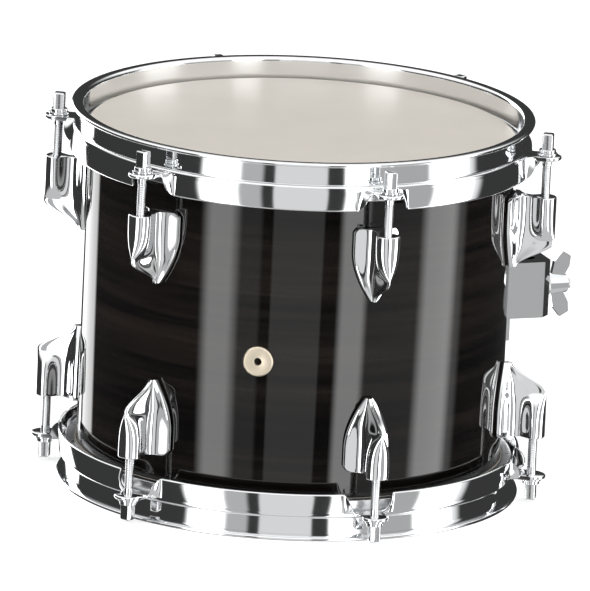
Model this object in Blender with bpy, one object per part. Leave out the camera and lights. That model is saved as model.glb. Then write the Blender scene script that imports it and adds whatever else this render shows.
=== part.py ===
"""Concert tom, ten inches across and eight deep, with six lugs at each head and a side mounting bracket.

Metres, +Z up. The origin is on the drum's axis at the lower rim's plane, and the vent faces -Y.
"""

import math

import bmesh
import bpy
from mathutils import Matrix, Vector

for old in list(bpy.data.objects):
    bpy.data.objects.remove(old)

# Clearances
GAP = 0.0003
THREAD_PLAY = 0.0003
HOLE_PLAY = 0.0005

# Shell
SHELL_RADIUS = 0.126
SHELL_WALL = 0.005
SHELL_LENGTH = 0.203
EDGE_PEAK = 0.0015
SHELL_STEPS = 48

# Drumheads
FILM = 0.0005
FLESH_WIDTH = 0.0052
FLESH_HEIGHT = 0.0078
FLESH_DROP = 0.0035

# Triple-flange hoops
HOOP_STEEL = 0.0023
RIM_ABOVE_HEAD = 0.0115
LIP_WIDTH = 0.0057
HOOP_HEIGHT = 0.028
SKIRT_PLAY = 0.0012
SKIRT_FLARE = math.radians(6)
EAR_HALF_WIDTH = 0.0080
EAR_FILLET = 0.0095
HOOP_GAP_STEPS = 3

# Lugs
LUG_COUNT = 6
ROD_OFFSET = 0.0205
MOUTH_BELOW_RIM = 0.0405
LUG_WIDTH = 0.0275
LUG_LENGTH = 0.0440
LUG_CORNER = 0.0020
LUG_CORNER_LENGTH = 0.0025
LUG_PLATE = 0.0022
LUG_WAIST = 0.0062
LUG_RIDGE = 0.0024
TUBE_WIDTH = 0.0142
TUBE_LENGTH = 0.0280
TUBE_OUTER = 0.0068
GASKET = 0.0008
GASKET_MARGIN = 0.0004

# Tension rods with their washers
ROD_RADIUS = 0.0027
ROD_IN_LUG = 0.0185
ROD_HEAD = 0.00635
ROD_HEAD_HEIGHT = 0.0095
ROD_COLLAR_RADIUS = 0.0050
ROD_COLLAR = 0.0022
WASHER_RADIUS = 0.0060
WASHER = 0.0012
ROD_ENTRY = 0.0020
ROD_END_PLAY = 0.0010

# Lug screws, turned in from inside the shell
SCREW_RADIUS = 0.0020
SCREW_DEPTHS = (0.0095, 0.0325)
SCREW_HEAD_RADIUS = 0.0046
SCREW_HEAD = 0.0028

# Vent
VENT_DISC_RADIUS = 0.0090
VENT_DISC = 0.0016
VENT_BORE = 0.0022
VENT_SLEEVE = 0.0012
VENT_RING_WIDTH = 0.0030
VENT_RING = 0.0018
VENT_HEIGHT_SHARE = 0.46

# Mounting bracket
BRACKET_ANGLE = math.radians(120)
BRACKET_WIDTH = 0.036
BRACKET_HEIGHT = 0.058
BRACKET_PLATE = 0.0040
BRACKET_GASKET = 0.0012
BLOCK_WIDTH = 0.0270
BLOCK_HEIGHT = 0.0340
ARM_RADIUS = 0.00525
ARM_PLAY = 0.00040
ARM_OFFSET = 0.0195
BLOCK_FACE = 0.0130
EYE_RING = 0.0035
EYE_HEIGHT = 0.0064
EYE_TRAVEL = 0.0015
BOLT_RADIUS = 0.0030
BOLT_PAST_NUT = 0.0020
BLOCK_WASHER_RADIUS = 0.0075
BLOCK_WASHER = 0.0012
WING_HUB_RADIUS = 0.0068
WING_HUB_TOP_RADIUS = 0.0052
WING_HUB = 0.0120
WING_SPAN = 0.0400
WING_THICKNESS = 0.0034
BACKING_PLATE = 0.0015
BRACKET_SCREW_RADIUS = 0.0025
BRACKET_SCREW_X = 0.0125
BRACKET_SCREW_Z = 0.0225
BRACKET_SCREW_BITE = 0.0032

# Places that follow from the sizes above
SHELL_BORE = SHELL_RADIUS - SHELL_WALL
SHELL_BOTTOM = RIM_ABOVE_HEAD + FILM + GAP
SHELL_TOP = SHELL_BOTTOM + SHELL_LENGTH
DRUM_HEIGHT = SHELL_TOP + SHELL_BOTTOM
FLESH_BORE = SHELL_RADIUS + FILM + 2 * GAP
FLESH_OUTER = FLESH_BORE + FLESH_WIDTH
ROD_CIRCLE = SHELL_RADIUS + ROD_OFFSET
LUG_SEAT_RADIUS = SHELL_RADIUS + GASKET + 2 * GAP
SCREW_SEAT = SHELL_BORE * math.cos(math.pi / SHELL_STEPS) - GAP
BRACKET_SEAT = SHELL_RADIUS + BRACKET_GASKET + 2 * GAP
ARM_CIRCLE = SHELL_RADIUS + ARM_OFFSET
ARM_BORE = ARM_RADIUS + ARM_PLAY
EYE_OUTER = ARM_BORE + EYE_RING
BLOCK_FRONT = ARM_CIRCLE + BLOCK_FACE
LUG_ANGLES = [math.tau * (i + 0.5) / LUG_COUNT for i in range(LUG_COUNT)]

# Heights measured down from the rim of either hoop
SHOULDER_DEPTH = SHELL_BOTTOM + FLESH_DROP - GAP - HOOP_STEEL / 2
EAR_DEPTH = SHOULDER_DEPTH + HOOP_STEEL
SHARP_ANGLE = math.radians(35)
WALL_RADIUS = (FLESH_BORE + FLESH_OUTER + HOOP_STEEL) / 2
SKIRT_RADIUS = FLESH_OUTER + SKIRT_PLAY + HOOP_STEEL / 2


def material(name, color, metallic, roughness):
    """A plain Principled material."""
    made = bpy.data.materials.new(name)
    made.use_nodes = True
    shader = made.node_tree.nodes["Principled BSDF"]
    shader.inputs["Base Color"].default_value = (*color, 1.0)
    shader.inputs["Metallic"].default_value = metallic
    shader.inputs["Roughness"].default_value = roughness
    made.diffuse_color = (*color, 1.0)
    return made


FINISHES = {
    "lacquer": ((0.018, 0.016, 0.016), 0.0, 0.08),
    "chrome": ((0.80, 0.81, 0.83), 1.0, 0.08),
    "zinc": ((0.62, 0.63, 0.62), 1.0, 0.32),
    "film": ((0.78, 0.75, 0.70), 0.0, 0.45),
    "aluminium": ((0.70, 0.71, 0.72), 1.0, 0.30),
    "brass": ((0.72, 0.60, 0.38), 1.0, 0.25),
    "rubber": ((0.02, 0.02, 0.02), 0.0, 0.70),
}


def place(name, mesh, finish, matrix=None):
    """Put a mesh in the scene as one node, with a material of its own."""
    obj = bpy.data.objects.new(name, mesh)
    bpy.context.scene.collection.objects.link(obj)
    obj.matrix_world = matrix or Matrix()
    if not mesh.materials:
        mesh.materials.append(None)
    slot = obj.material_slots[0]
    slot.link = "OBJECT"
    slot.material = material(name, *FINISHES[finish])
    return obj


def mesh_from(bm, name):
    """Close off a bmesh as a smooth-shaded mesh whose hard edges stay sharp."""
    bmesh.ops.remove_doubles(bm, verts=bm.verts, dist=1e-6)
    bmesh.ops.dissolve_degenerate(bm, dist=1e-7, edges=bm.edges)
    bmesh.ops.recalc_face_normals(bm, faces=bm.faces)
    mesh = bpy.data.meshes.new(name)
    bm.to_mesh(mesh)
    bm.free()
    mesh.shade_smooth()
    mesh.set_sharp_from_angle(angle=SHARP_ANGLE)
    return mesh


def turned(outline, steps, closed=True, phase=0.5):
    """Spin a (radius, height) outline about Z. An outline that isn't closed starts and ends on the axis."""
    bm = bmesh.new()
    turn = math.tau * phase / steps
    points = [bm.verts.new((r * math.cos(turn), r * math.sin(turn), z)) for r, z in outline]
    pairs = list(zip(points, points[1:])) + ([(points[-1], points[0])] if closed else [])
    edges = [bm.edges.new(pair) for pair in pairs]
    bmesh.ops.spin(
        bm, geom=points + edges, cent=(0, 0, 0), axis=(0, 0, 1), angle=math.tau, steps=steps, use_merge=True
    )
    bmesh.ops.remove_doubles(bm, verts=bm.verts, dist=1e-6)
    return bm


def flat_radius(radius, sides):
    """Corner radius of a regular polygon whose flats lie on a circle of this radius."""
    return radius / math.cos(math.pi / sides)


def rod(radius, low, high, steps=8):
    """A plain cylinder along Z, its flats on the radius."""
    corner = flat_radius(radius, steps)
    return turned([(0, high), (corner, high), (corner, low), (0, low)], steps, closed=False)


def moved(bm, matrix):
    """A bmesh carried by a matrix."""
    bmesh.ops.transform(bm, matrix=matrix, verts=bm.verts)
    return bm


def joined(pieces):
    """Separate closed pieces in one bmesh."""
    whole = bmesh.new()
    for piece in pieces:
        spare = bpy.data.meshes.new("spare")
        piece.to_mesh(spare)
        piece.free()
        whole.from_mesh(spare)
        bpy.data.meshes.remove(spare)
    return whole


def combined(mesh, others, operation):
    """Apply one Boolean between a mesh and a set of closed shapes, and return the result as a new mesh."""
    body = bpy.data.objects.new("body", mesh)
    other = bpy.data.objects.new("other", mesh_from(joined(others), "other"))
    for obj in (body, other):
        bpy.context.scene.collection.objects.link(obj)
    other.hide_render = True
    other.display_type = "WIRE"
    modifier = body.modifiers.new("combine", "BOOLEAN")
    modifier.operation = operation
    modifier.object = other
    bpy.context.view_layer.update()
    result = bpy.data.meshes.new_from_object(body.evaluated_get(bpy.context.evaluated_depsgraph_get()))
    bpy.data.objects.remove(body)
    bpy.data.objects.remove(other)
    result.shade_smooth()
    result.set_sharp_from_angle(angle=SHARP_ANGLE)
    return result


def carved(mesh, cutters):
    """A mesh with closed shapes cut out of it."""
    return combined(mesh, cutters, "DIFFERENCE")


def around(angle, radius=0.0, height=0.0):
    """Frame at an angle from the vent: X along the shell, Y outwards, Z up, its origin at a radius and height."""
    turn = Matrix.Rotation(angle + math.pi, 4, "Z")
    return turn @ Matrix.Translation((0, radius, height))


OUTWARDS = Matrix.Rotation(-math.pi / 2, 4, "X")
FLIPPED = Matrix.Translation((0, 0, DRUM_HEIGHT)) @ Matrix.Rotation(math.pi, 4, "X")
SIDES = {"batter": Matrix(), "resonant": FLIPPED}


def lug_places(side):
    """Frames of one head's rods, upright at the rod axis in the rim's plane, in order round the drum."""
    return [SIDES[side] @ around(angle, ROD_CIRCLE, DRUM_HEIGHT) for angle in LUG_ANGLES]


def hollow_across(mesh_angle, low, high, radius, sides=6):
    """A radial cutter through the shell at an angle, spanning two radii, at the height in the frame."""
    return moved(rod(radius, low, high, sides), mesh_angle @ OUTWARDS)


def lug_screw_frames():
    """Radial frames of every lug screw, on the drum's axis, at the screw's angle and height."""
    frames = []
    for side in SIDES:
        for angle in LUG_ANGLES:
            for depth in SCREW_DEPTHS:
                height = DRUM_HEIGHT - MOUTH_BELOW_RIM - depth
                frames.append(SIDES[side] @ around(angle, 0, height))
    return frames


def bracket_frame(height=0.0):
    """Frame of the bracket on the drum's axis at mid height: X along the shell, Y outwards."""
    return around(BRACKET_ANGLE, 0, DRUM_HEIGHT / 2 + height)


def bracket_screw_frames():
    """Radial frames of the bracket's four screws, parallel to its centre line."""
    corners = [(x, z) for x in (-BRACKET_SCREW_X, BRACKET_SCREW_X) for z in (-BRACKET_SCREW_Z, BRACKET_SCREW_Z)]
    return [bracket_frame(z) @ Matrix.Translation((x, 0, 0)) for x, z in corners]


def vent_frame():
    """Radial frame of the vent."""
    return around(0, 0, DRUM_HEIGHT * VENT_HEIGHT_SHARE)


def shell():
    """Maple shell: a straight tube whose inner edge is cut back at 45 degrees to a narrow bearing peak."""
    bevel = SHELL_WALL - EDGE_PEAK
    outline = [
        (SHELL_RADIUS, SHELL_TOP),
        (SHELL_RADIUS, SHELL_BOTTOM),
        (SHELL_RADIUS - EDGE_PEAK, SHELL_BOTTOM),
        (SHELL_BORE, SHELL_BOTTOM + bevel),
        (SHELL_BORE, SHELL_TOP - bevel),
        (SHELL_RADIUS - EDGE_PEAK, SHELL_TOP),
    ]
    mesh = mesh_from(turned(outline, SHELL_STEPS), "shell")
    low, high = SHELL_BORE - SHELL_WALL, SHELL_RADIUS + SHELL_WALL
    cutters = [hollow_across(f, low, high, SCREW_RADIUS + HOLE_PLAY) for f in lug_screw_frames()]
    cutters += [hollow_across(f, low, high, BRACKET_SCREW_RADIUS + HOLE_PLAY) for f in bracket_screw_frames()]
    cutters.append(hollow_across(vent_frame(), low, high, VENT_BORE + VENT_SLEEVE + GAP, 10))
    place("shell", carved(mesh, cutters), "lacquer")


def heads():
    """Each head is a film with a turned-down collar, its edge held in a square aluminium flesh hoop."""
    top = SHELL_TOP + GAP
    collar = SHELL_RADIUS + GAP
    end = SHELL_TOP - FLESH_DROP - FLESH_HEIGHT
    film = [
        (0, top + FILM),
        (collar, top + FILM),
        (collar + FILM, top),
        (collar + FILM, end),
        (collar, end),
        (collar, top),
        (0, top),
    ]
    flesh_top = SHELL_TOP - FLESH_DROP
    flesh = [
        (FLESH_OUTER, flesh_top),
        (FLESH_OUTER, end),
        (FLESH_BORE, end),
        (FLESH_BORE, flesh_top),
    ]
    film_mesh = mesh_from(turned(film, SHELL_STEPS, closed=False), "film")
    flesh_mesh = mesh_from(turned(flesh, SHELL_STEPS), "flesh_hoop")
    for side, matrix in SIDES.items():
        place(f"{side}_film", film_mesh, "film", matrix)
        place(f"{side}_flesh_hoop", flesh_mesh, "aluminium", matrix)


def sheet_outline(line, thickness):
    """Closed outline of a bent sheet from its middle line, mitred at each bend."""
    half = thickness / 2
    near, far = [], []
    for i, point in enumerate(line):
        before = (line[i] - line[i - 1]).normalized() if i else None
        after = (line[i + 1] - line[i]).normalized() if i + 1 < len(line) else None
        first = before or after
        last = after or before
        normal = Vector((-(first + last).y, (first + last).x)).normalized()
        reach = half / max(0.4, normal.dot(Vector((-first.y, first.x))))
        near.append(point + normal * reach)
        far.append(point - normal * reach)
    return near + far[::-1]


def ease(share):
    """Smooth step from 0 to 1."""
    share = min(1.0, max(0.0, share))
    return share * share * (3 - 2 * share)


def hoop_line(distance):
    """Middle line of the hoop's sheet at a distance along the rod circle from the nearest ear.

    The lower flange is a flat tongue with a round end at the ear and turns down into a skirt past it.
    """
    turn = ease((distance - EAR_HALF_WIDTH) / EAR_FILLET)
    slope = turn * (math.pi / 2 - SKIRT_FLARE)
    skirt = (HOOP_HEIGHT - EAR_DEPTH) / math.cos(SKIRT_FLARE)
    if distance <= EAR_HALF_WIDTH:
        tongue = math.sqrt(EAR_HALF_WIDTH**2 - distance**2)
        length = ROD_CIRCLE + tongue - SKIRT_RADIUS
    else:
        length = skirt * (0.45 + 0.55 * turn)
    root = Vector((SKIRT_RADIUS, -EAR_DEPTH))
    return [
        Vector((WALL_RADIUS + LIP_WIDTH, -HOOP_STEEL / 2)),
        Vector((WALL_RADIUS, -HOOP_STEEL / 2)),
        Vector((WALL_RADIUS, -SHOULDER_DEPTH)),
        Vector((SKIRT_RADIUS, -SHOULDER_DEPTH)),
        root,
        root + length * Vector((math.cos(slope), -math.sin(slope))),
    ]


def hoop_stations():
    """Distances along the rod circle from one ear to the middle of the gap to the next."""
    half_gap = ROD_CIRCLE * math.pi / LUG_COUNT
    near = [0, 0.62 * EAR_HALF_WIDTH, EAR_HALF_WIDTH]
    turning = [EAR_HALF_WIDTH + share * EAR_FILLET for share in (0.15, 0.5, 1.0)]
    skirt = turning[-1]
    rest = [skirt + (half_gap - skirt) * (i + 1) / HOOP_GAP_STEPS for i in range(HOOP_GAP_STEPS)]
    return near + turning + rest


def hoops():
    """Triple-flange hoops, swept round the drum with the lower flange changing at each ear."""
    reaches = hoop_stations()
    bm = bmesh.new()
    loops = []
    for centre in LUG_ANGLES:
        signed = [-d for d in reaches[:0:-1]] + reaches[:-1]
        for distance in signed:
            angle = centre + distance / ROD_CIRCLE
            outline = sheet_outline(hoop_line(abs(distance)), HOOP_STEEL)
            loops.append([bm.verts.new((r * math.sin(angle), -r * math.cos(angle), z)) for r, z in outline])
    for here, there in zip(loops, loops[1:] + loops[:1]):
        for k in range(len(here)):
            nxt = (k + 1) % len(here)
            bm.faces.new((here[k], here[nxt], there[nxt], there[k]))
    low, high = -EAR_DEPTH - 2 * HOOP_STEEL, -EAR_DEPTH + 2 * HOOP_STEEL
    cutters = [
        moved(rod(ROD_RADIUS + HOLE_PLAY, low, high), around(angle, ROD_CIRCLE)) for angle in LUG_ANGLES
    ]
    mesh = carved(mesh_from(bm, "hoop"), cutters)
    for side, matrix in SIDES.items():
        place(f"{side}_hoop", mesh, "chrome", matrix @ Matrix.Translation((0, 0, DRUM_HEIGHT)))


def rods():
    """Square-headed tension rods, each with its washer under the collar."""
    seat = -EAR_DEPTH + HOOP_STEEL / 2 + GAP
    collar = seat + WASHER
    neck = collar + ROD_COLLAR
    end = -MOUTH_BELOW_RIM - ROD_IN_LUG
    outline = [
        (0, neck),
        (ROD_COLLAR_RADIUS, neck),
        (ROD_COLLAR_RADIUS, collar),
        (WASHER_RADIUS, collar),
        (WASHER_RADIUS, seat),
        (ROD_RADIUS, seat),
        (ROD_RADIUS, end),
        (0, end),
    ]
    half = ROD_HEAD / 2
    head = box((-half, -half, collar), (half, half, neck + ROD_HEAD_HEIGHT))
    rod_mesh = combined(mesh_from(turned(outline, 8, closed=False), "stem"), [head], "UNION")
    for side in SIDES:
        for number, frame in enumerate(lug_places(side), 1):
            place(f"{side}_rod_{number}", rod_mesh, "chrome", frame)


def lug_half_width(depth):
    """Half width of the pointed-arch foot at a depth below the lug's mouth, with its mouth corners cut back."""
    straight = LUG_LENGTH / 3
    share = max(0.0, (depth - straight) / (LUG_LENGTH - straight))
    corner = max(0.0, LUG_CORNER - depth * LUG_CORNER / LUG_CORNER_LENGTH)
    return LUG_RIDGE + (LUG_WIDTH / 2 - LUG_RIDGE) * (1 - share**1.8) - corner


def foot_height(x, radius):
    """Height above the shell, at a distance x across, of a surface curved to this radius about the drum's axis."""
    return math.sqrt(radius**2 - x**2) - SHELL_RADIUS


def lug_section(depth):
    """Outline across the lug at a depth below its mouth: foot, concave web, then the tube or the ridge below it."""
    foot = lug_half_width(depth)
    taper = min(1.0, (LUG_LENGTH - depth) / (LUG_LENGTH - TUBE_LENGTH))
    rise = 0.08 + 0.92 * taper
    waist = LUG_RIDGE / 2 + (LUG_WAIST - LUG_RIDGE) / 2 * taper
    tube = max(LUG_RIDGE / 2, TUBE_WIDTH / 2 * (1 - (depth / TUBE_LENGTH) ** 3))
    back = foot_height(foot, LUG_SEAT_RADIUS)
    plate = back + LUG_PLATE
    top = rise * (ROD_OFFSET + TUBE_OUTER - plate)
    right = [
        (foot, back),
        (foot - LUG_PLATE / 4, plate),
        (waist + (foot - waist) / 5, plate + top * 0.16),
        (waist, plate + top * 0.42),
        (tube, plate + top * 0.72),
        (tube * 0.72, plate + top * 0.93),
    ]
    left = [(-x, y) for x, y in reversed(right)]
    return [(0, foot_height(0, LUG_SEAT_RADIUS))] + right + [(0, plate + top)] + left


def lofted(sections, heights):
    """Closed solid through outlines of equal point counts, one at each height."""
    bm = bmesh.new()
    loops = [[bm.verts.new((x, y, z)) for x, y in outline] for outline, z in zip(sections, heights)]
    for here, there in zip(loops, loops[1:]):
        for k in range(len(here)):
            nxt = (k + 1) % len(here)
            bm.faces.new((here[k], here[nxt], there[nxt], there[k]))
    bm.faces.new(loops[0])
    bm.faces.new(loops[-1])
    return bm


def lug_screw_holes(low, high):
    """Radial cutters for one lug's two screws, between two radii, in the lug's frame."""
    cutters = []
    for depth in SCREW_DEPTHS:
        frame = Matrix.Translation((0, -SHELL_RADIUS, -MOUTH_BELOW_RIM - depth))
        cutters.append(hollow_across(frame, low, high, SCREW_RADIUS + HOLE_PLAY))
    return cutters


def screw(radius, seat, tip):
    """Hexagon-headed screw along Z, its head under the seat."""
    outline = [
        (0, tip),
        (radius, tip),
        (radius, seat),
        (SCREW_HEAD_RADIUS, seat),
        (SCREW_HEAD_RADIUS, seat - SCREW_HEAD),
        (0, seat - SCREW_HEAD),
    ]
    return turned(outline, 6, closed=False)


def lug_mesh():
    """One cast lug, its Y height counted from the shell: bored for the rod, with its two screws through the shell."""
    depths = [0, LUG_CORNER_LENGTH, LUG_LENGTH / 3, TUBE_LENGTH * 0.77, TUBE_LENGTH]
    depths += [(TUBE_LENGTH + LUG_LENGTH) / 2, LUG_LENGTH]
    bm = lofted([lug_section(d) for d in depths], [-MOUTH_BELOW_RIM - d for d in depths])
    screws = []
    for depth in SCREW_DEPTHS:
        frame = Matrix.Translation((0, -SHELL_RADIUS, -MOUTH_BELOW_RIM - depth)) @ OUTWARDS
        screws.append(moved(screw(SCREW_RADIUS, SCREW_SEAT, LUG_SEAT_RADIUS + LUG_PLATE / 2), frame))
    body = combined(mesh_from(bm, "lug"), screws, "UNION")
    bore = rod(ROD_RADIUS + THREAD_PLAY, -ROD_IN_LUG - ROD_END_PLAY, ROD_ENTRY)
    return carved(body, [moved(bore, Matrix.Translation((0, ROD_OFFSET, -MOUTH_BELOW_RIM)))])


def gasket_mesh():
    """Thin gasket under a lug's foot, with the foot's outline and the screws' holes."""
    inner, outer = SHELL_RADIUS + GAP, SHELL_RADIUS + GAP + GASKET
    depths = [0, LUG_LENGTH / 3, TUBE_LENGTH, (TUBE_LENGTH + LUG_LENGTH) / 2, LUG_LENGTH]
    sections = []
    for depth in depths:
        half = lug_half_width(depth) - GASKET_MARGIN
        across = [-half, 0, half]
        low = [(x, foot_height(x, inner)) for x in across]
        high = [(x, foot_height(x, outer)) for x in reversed(across)]
        sections.append(low + high)
    heights = [-MOUTH_BELOW_RIM - d for d in depths]
    heights[0] -= GASKET_MARGIN
    heights[-1] += GASKET_MARGIN
    holes = lug_screw_holes(SHELL_BORE, LUG_SEAT_RADIUS + LUG_PLATE)
    return carved(mesh_from(lofted(sections, heights), "gasket"), holes)


def lugs():
    """Lugs with their screws, each on its own gasket."""
    lug = lug_mesh()
    gasket = gasket_mesh()
    for side, flip in SIDES.items():
        for number, angle in enumerate(LUG_ANGLES, 1):
            seat = flip @ around(angle, SHELL_RADIUS, DRUM_HEIGHT)
            place(f"{side}_lug_{number}", lug, "chrome", seat)
            place(f"{side}_lug_gasket_{number}", gasket, "rubber", seat)


def vent():
    """Round vent: a brass eyelet with a broad outer disc, held inside by a ring."""
    frame = vent_frame() @ OUTWARDS
    sleeve = VENT_BORE + VENT_SLEEVE
    disc = SHELL_RADIUS + GAP
    inside = SCREW_SEAT
    end = inside - VENT_RING
    eyelet = [
        (VENT_DISC_RADIUS, disc),
        (VENT_DISC_RADIUS, disc + VENT_DISC * 0.6),
        (VENT_DISC_RADIUS - VENT_DISC / 2, disc + VENT_DISC),
        (VENT_BORE, disc + VENT_DISC),
        (VENT_BORE, end),
        (sleeve, end),
        (sleeve, disc),
    ]
    ring = [
        (sleeve + GAP + VENT_RING_WIDTH, inside),
        (sleeve + GAP, inside),
        (sleeve + GAP, end),
        (sleeve + GAP + VENT_RING_WIDTH, end),
    ]
    place("vent_eyelet", mesh_from(turned(eyelet, 20), "vent_eyelet"), "brass", frame)
    place("vent_lock_ring", mesh_from(turned(ring, 20), "vent_lock_ring"), "brass", frame)


def curved_plate(width, height, inner, outer, cross_steps=4):
    """Plate wrapped about the drum's axis between two radii, upright in the bracket's frame."""
    xs = [width * (i / cross_steps - 0.5) for i in range(cross_steps + 1)]
    low = [(x, math.sqrt(inner**2 - x**2)) for x in xs]
    high = [(x, math.sqrt(outer**2 - x**2)) for x in reversed(xs)]
    return lofted([low + high] * 2, [-height / 2, height / 2])


def box(low, high):
    """Closed box between two corners."""
    bm = bmesh.new()
    bmesh.ops.create_cube(bm, size=1.0)
    size = Vector(high) - Vector(low)
    centre = (Vector(high) + Vector(low)) / 2
    bmesh.ops.transform(bm, matrix=Matrix.Translation(centre) @ Matrix.Diagonal((*size, 1.0)), verts=bm.verts)
    return bm


def upright(sides, radius, low, high, centre):
    """Vertical cylinder in the bracket's frame, its flats on the radius, about a distance from the drum's axis."""
    return moved(rod(radius, low, high, sides), Matrix.Translation((0, centre, 0)))


def bracket_screw_holes(radius, high):
    """Cutters for the bracket's four screws, parallel to its centre line, out to a distance past the foot's back."""
    cutters = []
    for x in (-BRACKET_SCREW_X, BRACKET_SCREW_X):
        for z in (-BRACKET_SCREW_Z, BRACKET_SCREW_Z):
            back = math.sqrt(BRACKET_SEAT**2 - x**2)
            cutters.append(hollow_across(Matrix.Translation((x, 0, z)), SHELL_BORE - SHELL_WALL, back + high, radius))
    return cutters


def bracket_body():
    """Cast bracket: a foot curved to the shell and a block bored upright for the arm, slotted for the eyebolt."""
    foot_front = BRACKET_SEAT + BRACKET_PLATE
    foot = mesh_from(curved_plate(BRACKET_WIDTH, BRACKET_HEIGHT, BRACKET_SEAT, foot_front), "foot")
    half = BLOCK_WIDTH / 2
    chamfer = BLOCK_WIDTH / 5
    root = BRACKET_SEAT + BRACKET_PLATE / 2
    outline = [
        (-half, root),
        (half, root),
        (half, BLOCK_FRONT - chamfer),
        (half - chamfer, BLOCK_FRONT),
        (chamfer - half, BLOCK_FRONT),
        (-half, BLOCK_FRONT - chamfer),
    ]
    block = lofted([outline] * 2, [-BLOCK_HEIGHT / 2, BLOCK_HEIGHT / 2])
    body = combined(foot, [block], "UNION")
    slot_half = EYE_OUTER + 2 * GAP
    slot_height = EYE_HEIGHT / 2 + GAP
    slot_end = ARM_CIRCLE + EYE_TRAVEL + EYE_OUTER + 2 * GAP
    slot = box((-slot_half, SHELL_BORE, -slot_height), (slot_half, slot_end, slot_height))
    bore = upright(16, ARM_BORE, -BLOCK_HEIGHT, BLOCK_HEIGHT, ARM_CIRCLE)
    shank = moved(rod(BOLT_RADIUS + HOLE_PLAY, ARM_CIRCLE, BLOCK_FRONT + BLOCK_FACE, 10), OUTWARDS)
    holes = bracket_screw_holes(BRACKET_SCREW_RADIUS + THREAD_PLAY, BRACKET_SCREW_BITE + GAP)
    body = carved(body, [slot] + holes)
    body = carved(body, [bore])
    return carved(body, [shank])


def eyebolt():
    """Eyebolt round the arm: a flat ring with a threaded shank through the block's face."""
    end = BLOCK_FRONT + BLOCK_WASHER + WING_HUB + 2 * GAP + BOLT_PAST_NUT
    ring = mesh_from(upright(16, EYE_OUTER, -EYE_HEIGHT / 2, EYE_HEIGHT / 2, ARM_CIRCLE), "eye")
    shank = moved(rod(BOLT_RADIUS, ARM_CIRCLE + ARM_BORE + EYE_RING / 2, end, 10), OUTWARDS)
    whole = combined(ring, [shank], "UNION")
    return carved(whole, [upright(16, ARM_BORE + GAP / 3, -EYE_HEIGHT, EYE_HEIGHT, ARM_CIRCLE)])


def wing_nut():
    """Wing nut along Z from its seat: a tapered hub with two raised wings, parked upright."""
    half = WING_SPAN / 2
    bore = rod(BOLT_RADIUS + THREAD_PLAY, -WING_HUB, 2 * WING_HUB, 10)
    hub = [(0, WING_HUB), (WING_HUB_TOP_RADIUS, WING_HUB), (WING_HUB_RADIUS, 0), (0, 0)]
    side = [
        (-half, WING_HUB * 0.70),
        (-half * 0.85, WING_HUB * 1.15),
        (-half * 0.55, WING_HUB * 1.10),
        (-half * 0.22, WING_HUB * 0.80),
        (half * 0.22, WING_HUB * 0.80),
        (half * 0.55, WING_HUB * 1.10),
        (half * 0.85, WING_HUB * 1.15),
        (half, WING_HUB * 0.70),
        (half * 0.70, WING_HUB * 0.30),
        (half * 0.22, WING_HUB * 0.15),
        (-half * 0.22, WING_HUB * 0.15),
        (-half * 0.70, WING_HUB * 0.30),
    ]
    wings = lofted([side] * 2, [-WING_THICKNESS / 2, WING_THICKNESS / 2])
    stand_up = Matrix.Rotation(math.pi / 2, 4, "Z") @ Matrix.Rotation(math.pi / 2, 4, "X")
    whole = combined(mesh_from(turned(hub, 12, closed=False), "hub"), [moved(wings, stand_up)], "UNION")
    return carved(whole, [bore])


def bracket():
    """Side bracket that the mounting arm slides into, with its clamp and fastenings."""
    frame = bracket_frame()
    outer = SCREW_SEAT
    inner = outer - BACKING_PLATE
    gasket = mesh_from(
        curved_plate(BRACKET_WIDTH, BRACKET_HEIGHT, SHELL_RADIUS + GAP, SHELL_RADIUS + GAP + BRACKET_GASKET), "pad"
    )
    backing = mesh_from(curved_plate(BRACKET_WIDTH, BRACKET_HEIGHT, inner, outer), "backing")
    through = bracket_screw_holes(BRACKET_SCREW_RADIUS + THREAD_PLAY, BRACKET_PLATE)
    place("bracket_gasket", carved(gasket, through), "rubber", frame)
    through = bracket_screw_holes(BRACKET_SCREW_RADIUS + THREAD_PLAY, BRACKET_PLATE)
    place("bracket_backing_plate", carved(backing, through), "zinc", frame)
    place("bracket_body", bracket_body(), "chrome", frame)
    place("bracket_eyebolt", eyebolt(), "zinc", frame)
    washer_low = BLOCK_FRONT + GAP
    washer_bore = flat_radius(BOLT_RADIUS + THREAD_PLAY, 10)
    washer = [
        (BLOCK_WASHER_RADIUS, washer_low + BLOCK_WASHER),
        (BLOCK_WASHER_RADIUS, washer_low),
        (washer_bore, washer_low),
        (washer_bore, washer_low + BLOCK_WASHER),
    ]
    place("bracket_washer", mesh_from(turned(washer, 12), "bracket_washer"), "zinc", frame @ OUTWARDS)
    nut_seat = washer_low + BLOCK_WASHER + GAP
    place("bracket_wing_nut", wing_nut(), "chrome", frame @ OUTWARDS @ Matrix.Translation((0, 0, nut_seat)))
    head_reach = BRACKET_SCREW_X + SCREW_HEAD_RADIUS
    head_seat = math.sqrt(inner**2 - head_reach**2) - GAP
    tip = math.sqrt(BRACKET_SEAT**2 - BRACKET_SCREW_X**2) + BRACKET_SCREW_BITE
    bracket_screw = mesh_from(screw(BRACKET_SCREW_RADIUS, head_seat, tip), "bracket_screw")
    for number, seat in enumerate(bracket_screw_frames(), 1):
        place(f"bracket_screw_{number}", bracket_screw, "zinc", seat @ OUTWARDS)


shell()
heads()
hoops()
rods()
lugs()
vent()
bracket()
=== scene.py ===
import math

import bmesh
import bpy
import numpy as np
from mathutils import Matrix, Vector


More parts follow.
